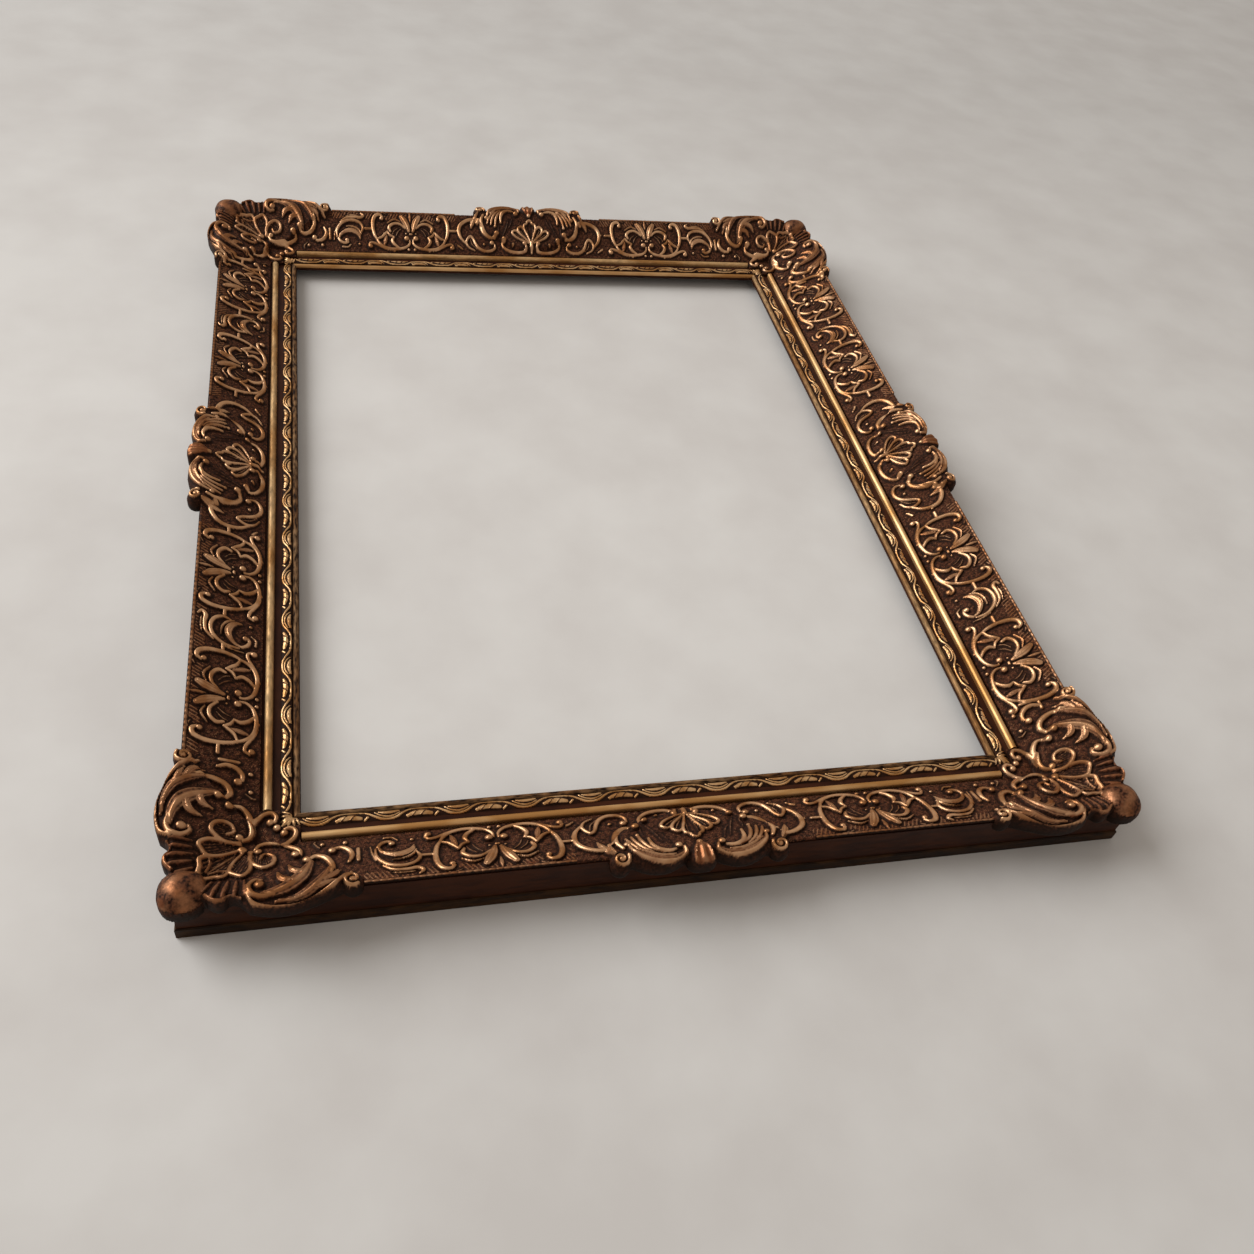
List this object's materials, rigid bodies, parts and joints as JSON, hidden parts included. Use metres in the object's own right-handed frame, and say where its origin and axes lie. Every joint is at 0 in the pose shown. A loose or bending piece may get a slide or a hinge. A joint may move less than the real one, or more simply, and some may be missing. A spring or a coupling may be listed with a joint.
{
  "type": "ornate gilded picture frame",
  "caption": "Ornate gilded picture frame with mitred mouldings, cast scroll and shell ornaments, a rebate for a picture, turn buttons and D ring hangers.",
  "frame": {"origin": "centre of the frame on the plane that its back rests on", "axes": "+X along the short sides to the right, +Y along the long sides toward the top of the hung frame, +Z out of the frame's face"},
  "size_m": [0.596, 0.7504, 0.0425],
  "materials": {
    "painted_wood": "dark umber paint, satin",
    "bare_wood": "stained wood with a thin dark coat",
    "gilded_trim": "bronze gold leaf over dark bole, rubbed",
    "gilded_casting": "dark umber casting with rubbed gold on the raised work",
    "nickel_steel": "nickel plated",
    "zinc_steel": "zinc plated",
    "fastener_steel": "plain steel"
  },
  "bodies": {
    "frame": {"back_rail_screws": "fastener_steel", "far_back_rail": "bare_wood", "far_centre_ornament": "gilded_casting", "far_fillet": "gilded_trim", "far_left_corner_ornament": "gilded_casting", "far_moulding": "painted_wood", "far_ribbon_band": "gilded_trim", "far_right_corner_ornament": "gilded_casting", "far_scroll_strip_1": "gilded_casting", "far_scroll_strip_2": "gilded_casting", "far_sight_bead": "gilded_trim", "hanger_screws": "fastener_steel", "left_back_rail": "bare_wood", "left_centre_ornament": "gilded_casting", "left_fillet": "gilded_trim", "left_hanger_strap": "nickel_steel", "left_moulding": "painted_wood", "left_ribbon_band": "gilded_trim", "left_scroll_strip_1": "gilded_casting", "left_scroll_strip_2": "gilded_casting", "left_sight_bead": "gilded_trim", "mitre_v_nails": "fastener_steel", "near_back_rail": "bare_wood", "near_centre_ornament": "gilded_casting", "near_fillet": "gilded_trim", "near_left_corner_ornament": "gilded_casting", "near_moulding": "painted_wood", "near_ribbon_band": "gilded_trim", "near_right_corner_ornament": "gilded_casting", "near_scroll_strip_1": "gilded_casting", "near_scroll_strip_2": "gilded_casting", "near_sight_bead": "gilded_trim", "right_back_rail": "bare_wood", "right_centre_ornament": "gilded_casting", "right_fillet": "gilded_trim", "right_hanger_strap": "nickel_steel", "right_moulding": "painted_wood", "right_ribbon_band": "gilded_trim", "right_scroll_strip_1": "gilded_casting", "right_scroll_strip_2": "gilded_casting", "right_sight_bead": "gilded_trim", "turn_button_screws": "fastener_steel"},
    "near_turn_button_1": {"near_turn_button_1": "zinc_steel"},
    "right_turn_button_1": {"right_turn_button_1": "zinc_steel"},
    "right_turn_button_2": {"right_turn_button_2": "zinc_steel"},
    "far_turn_button_1": {"far_turn_button_1": "zinc_steel"},
    "left_turn_button_1": {"left_turn_button_1": "zinc_steel"},
    "left_turn_button_2": {"left_turn_button_2": "zinc_steel"},
    "left_hanger_ring": {"left_hanger_ring": "nickel_steel"},
    "right_hanger_ring": {"right_hanger_ring": "nickel_steel"}
  },
  "joints": [
    {"name": "near_turn_button_1_pivot", "type": "hinge", "parent": "frame", "child": "near_turn_button_1", "pos_m": [0, -0.3127, 0.00385], "axis": [0, 0, 1], "continuous": true},
    {"name": "right_turn_button_1_pivot", "type": "hinge", "parent": "frame", "child": "right_turn_button_1", "pos_m": [0.2355, -0.15, 0.00385], "axis": [0, 0, 1], "continuous": true},
    {"name": "right_turn_button_2_pivot", "type": "hinge", "parent": "frame", "child": "right_turn_button_2", "pos_m": [0.2355, 0.15, 0.00385], "axis": [0, 0, 1], "continuous": true},
    {"name": "far_turn_button_1_pivot", "type": "hinge", "parent": "frame", "child": "far_turn_button_1", "pos_m": [0, 0.3127, 0.00385], "axis": [0, 0, 1], "continuous": true},
    {"name": "left_turn_button_1_pivot", "type": "hinge", "parent": "frame", "child": "left_turn_button_1", "pos_m": [-0.2355, 0.15, 0.00385], "axis": [0, 0, 1], "continuous": true},
    {"name": "left_turn_button_2_pivot", "type": "hinge", "parent": "frame", "child": "left_turn_button_2", "pos_m": [-0.2355, -0.15, 0.00385], "axis": [0, 0, 1], "continuous": true},
    {"name": "left_hanger_ring_swing", "type": "hinge", "parent": "frame", "child": "left_hanger_ring", "pos_m": [-0.251, 0.116, 0.0024], "axis": [-1, 0, 0], "range_deg": [0, 150]},
    {"name": "right_hanger_ring_swing", "type": "hinge", "parent": "frame", "child": "right_hanger_ring", "pos_m": [0.251, 0.116, 0.0024], "axis": [-1, 0, 0], "range_deg": [0, 150]}
  ]
}
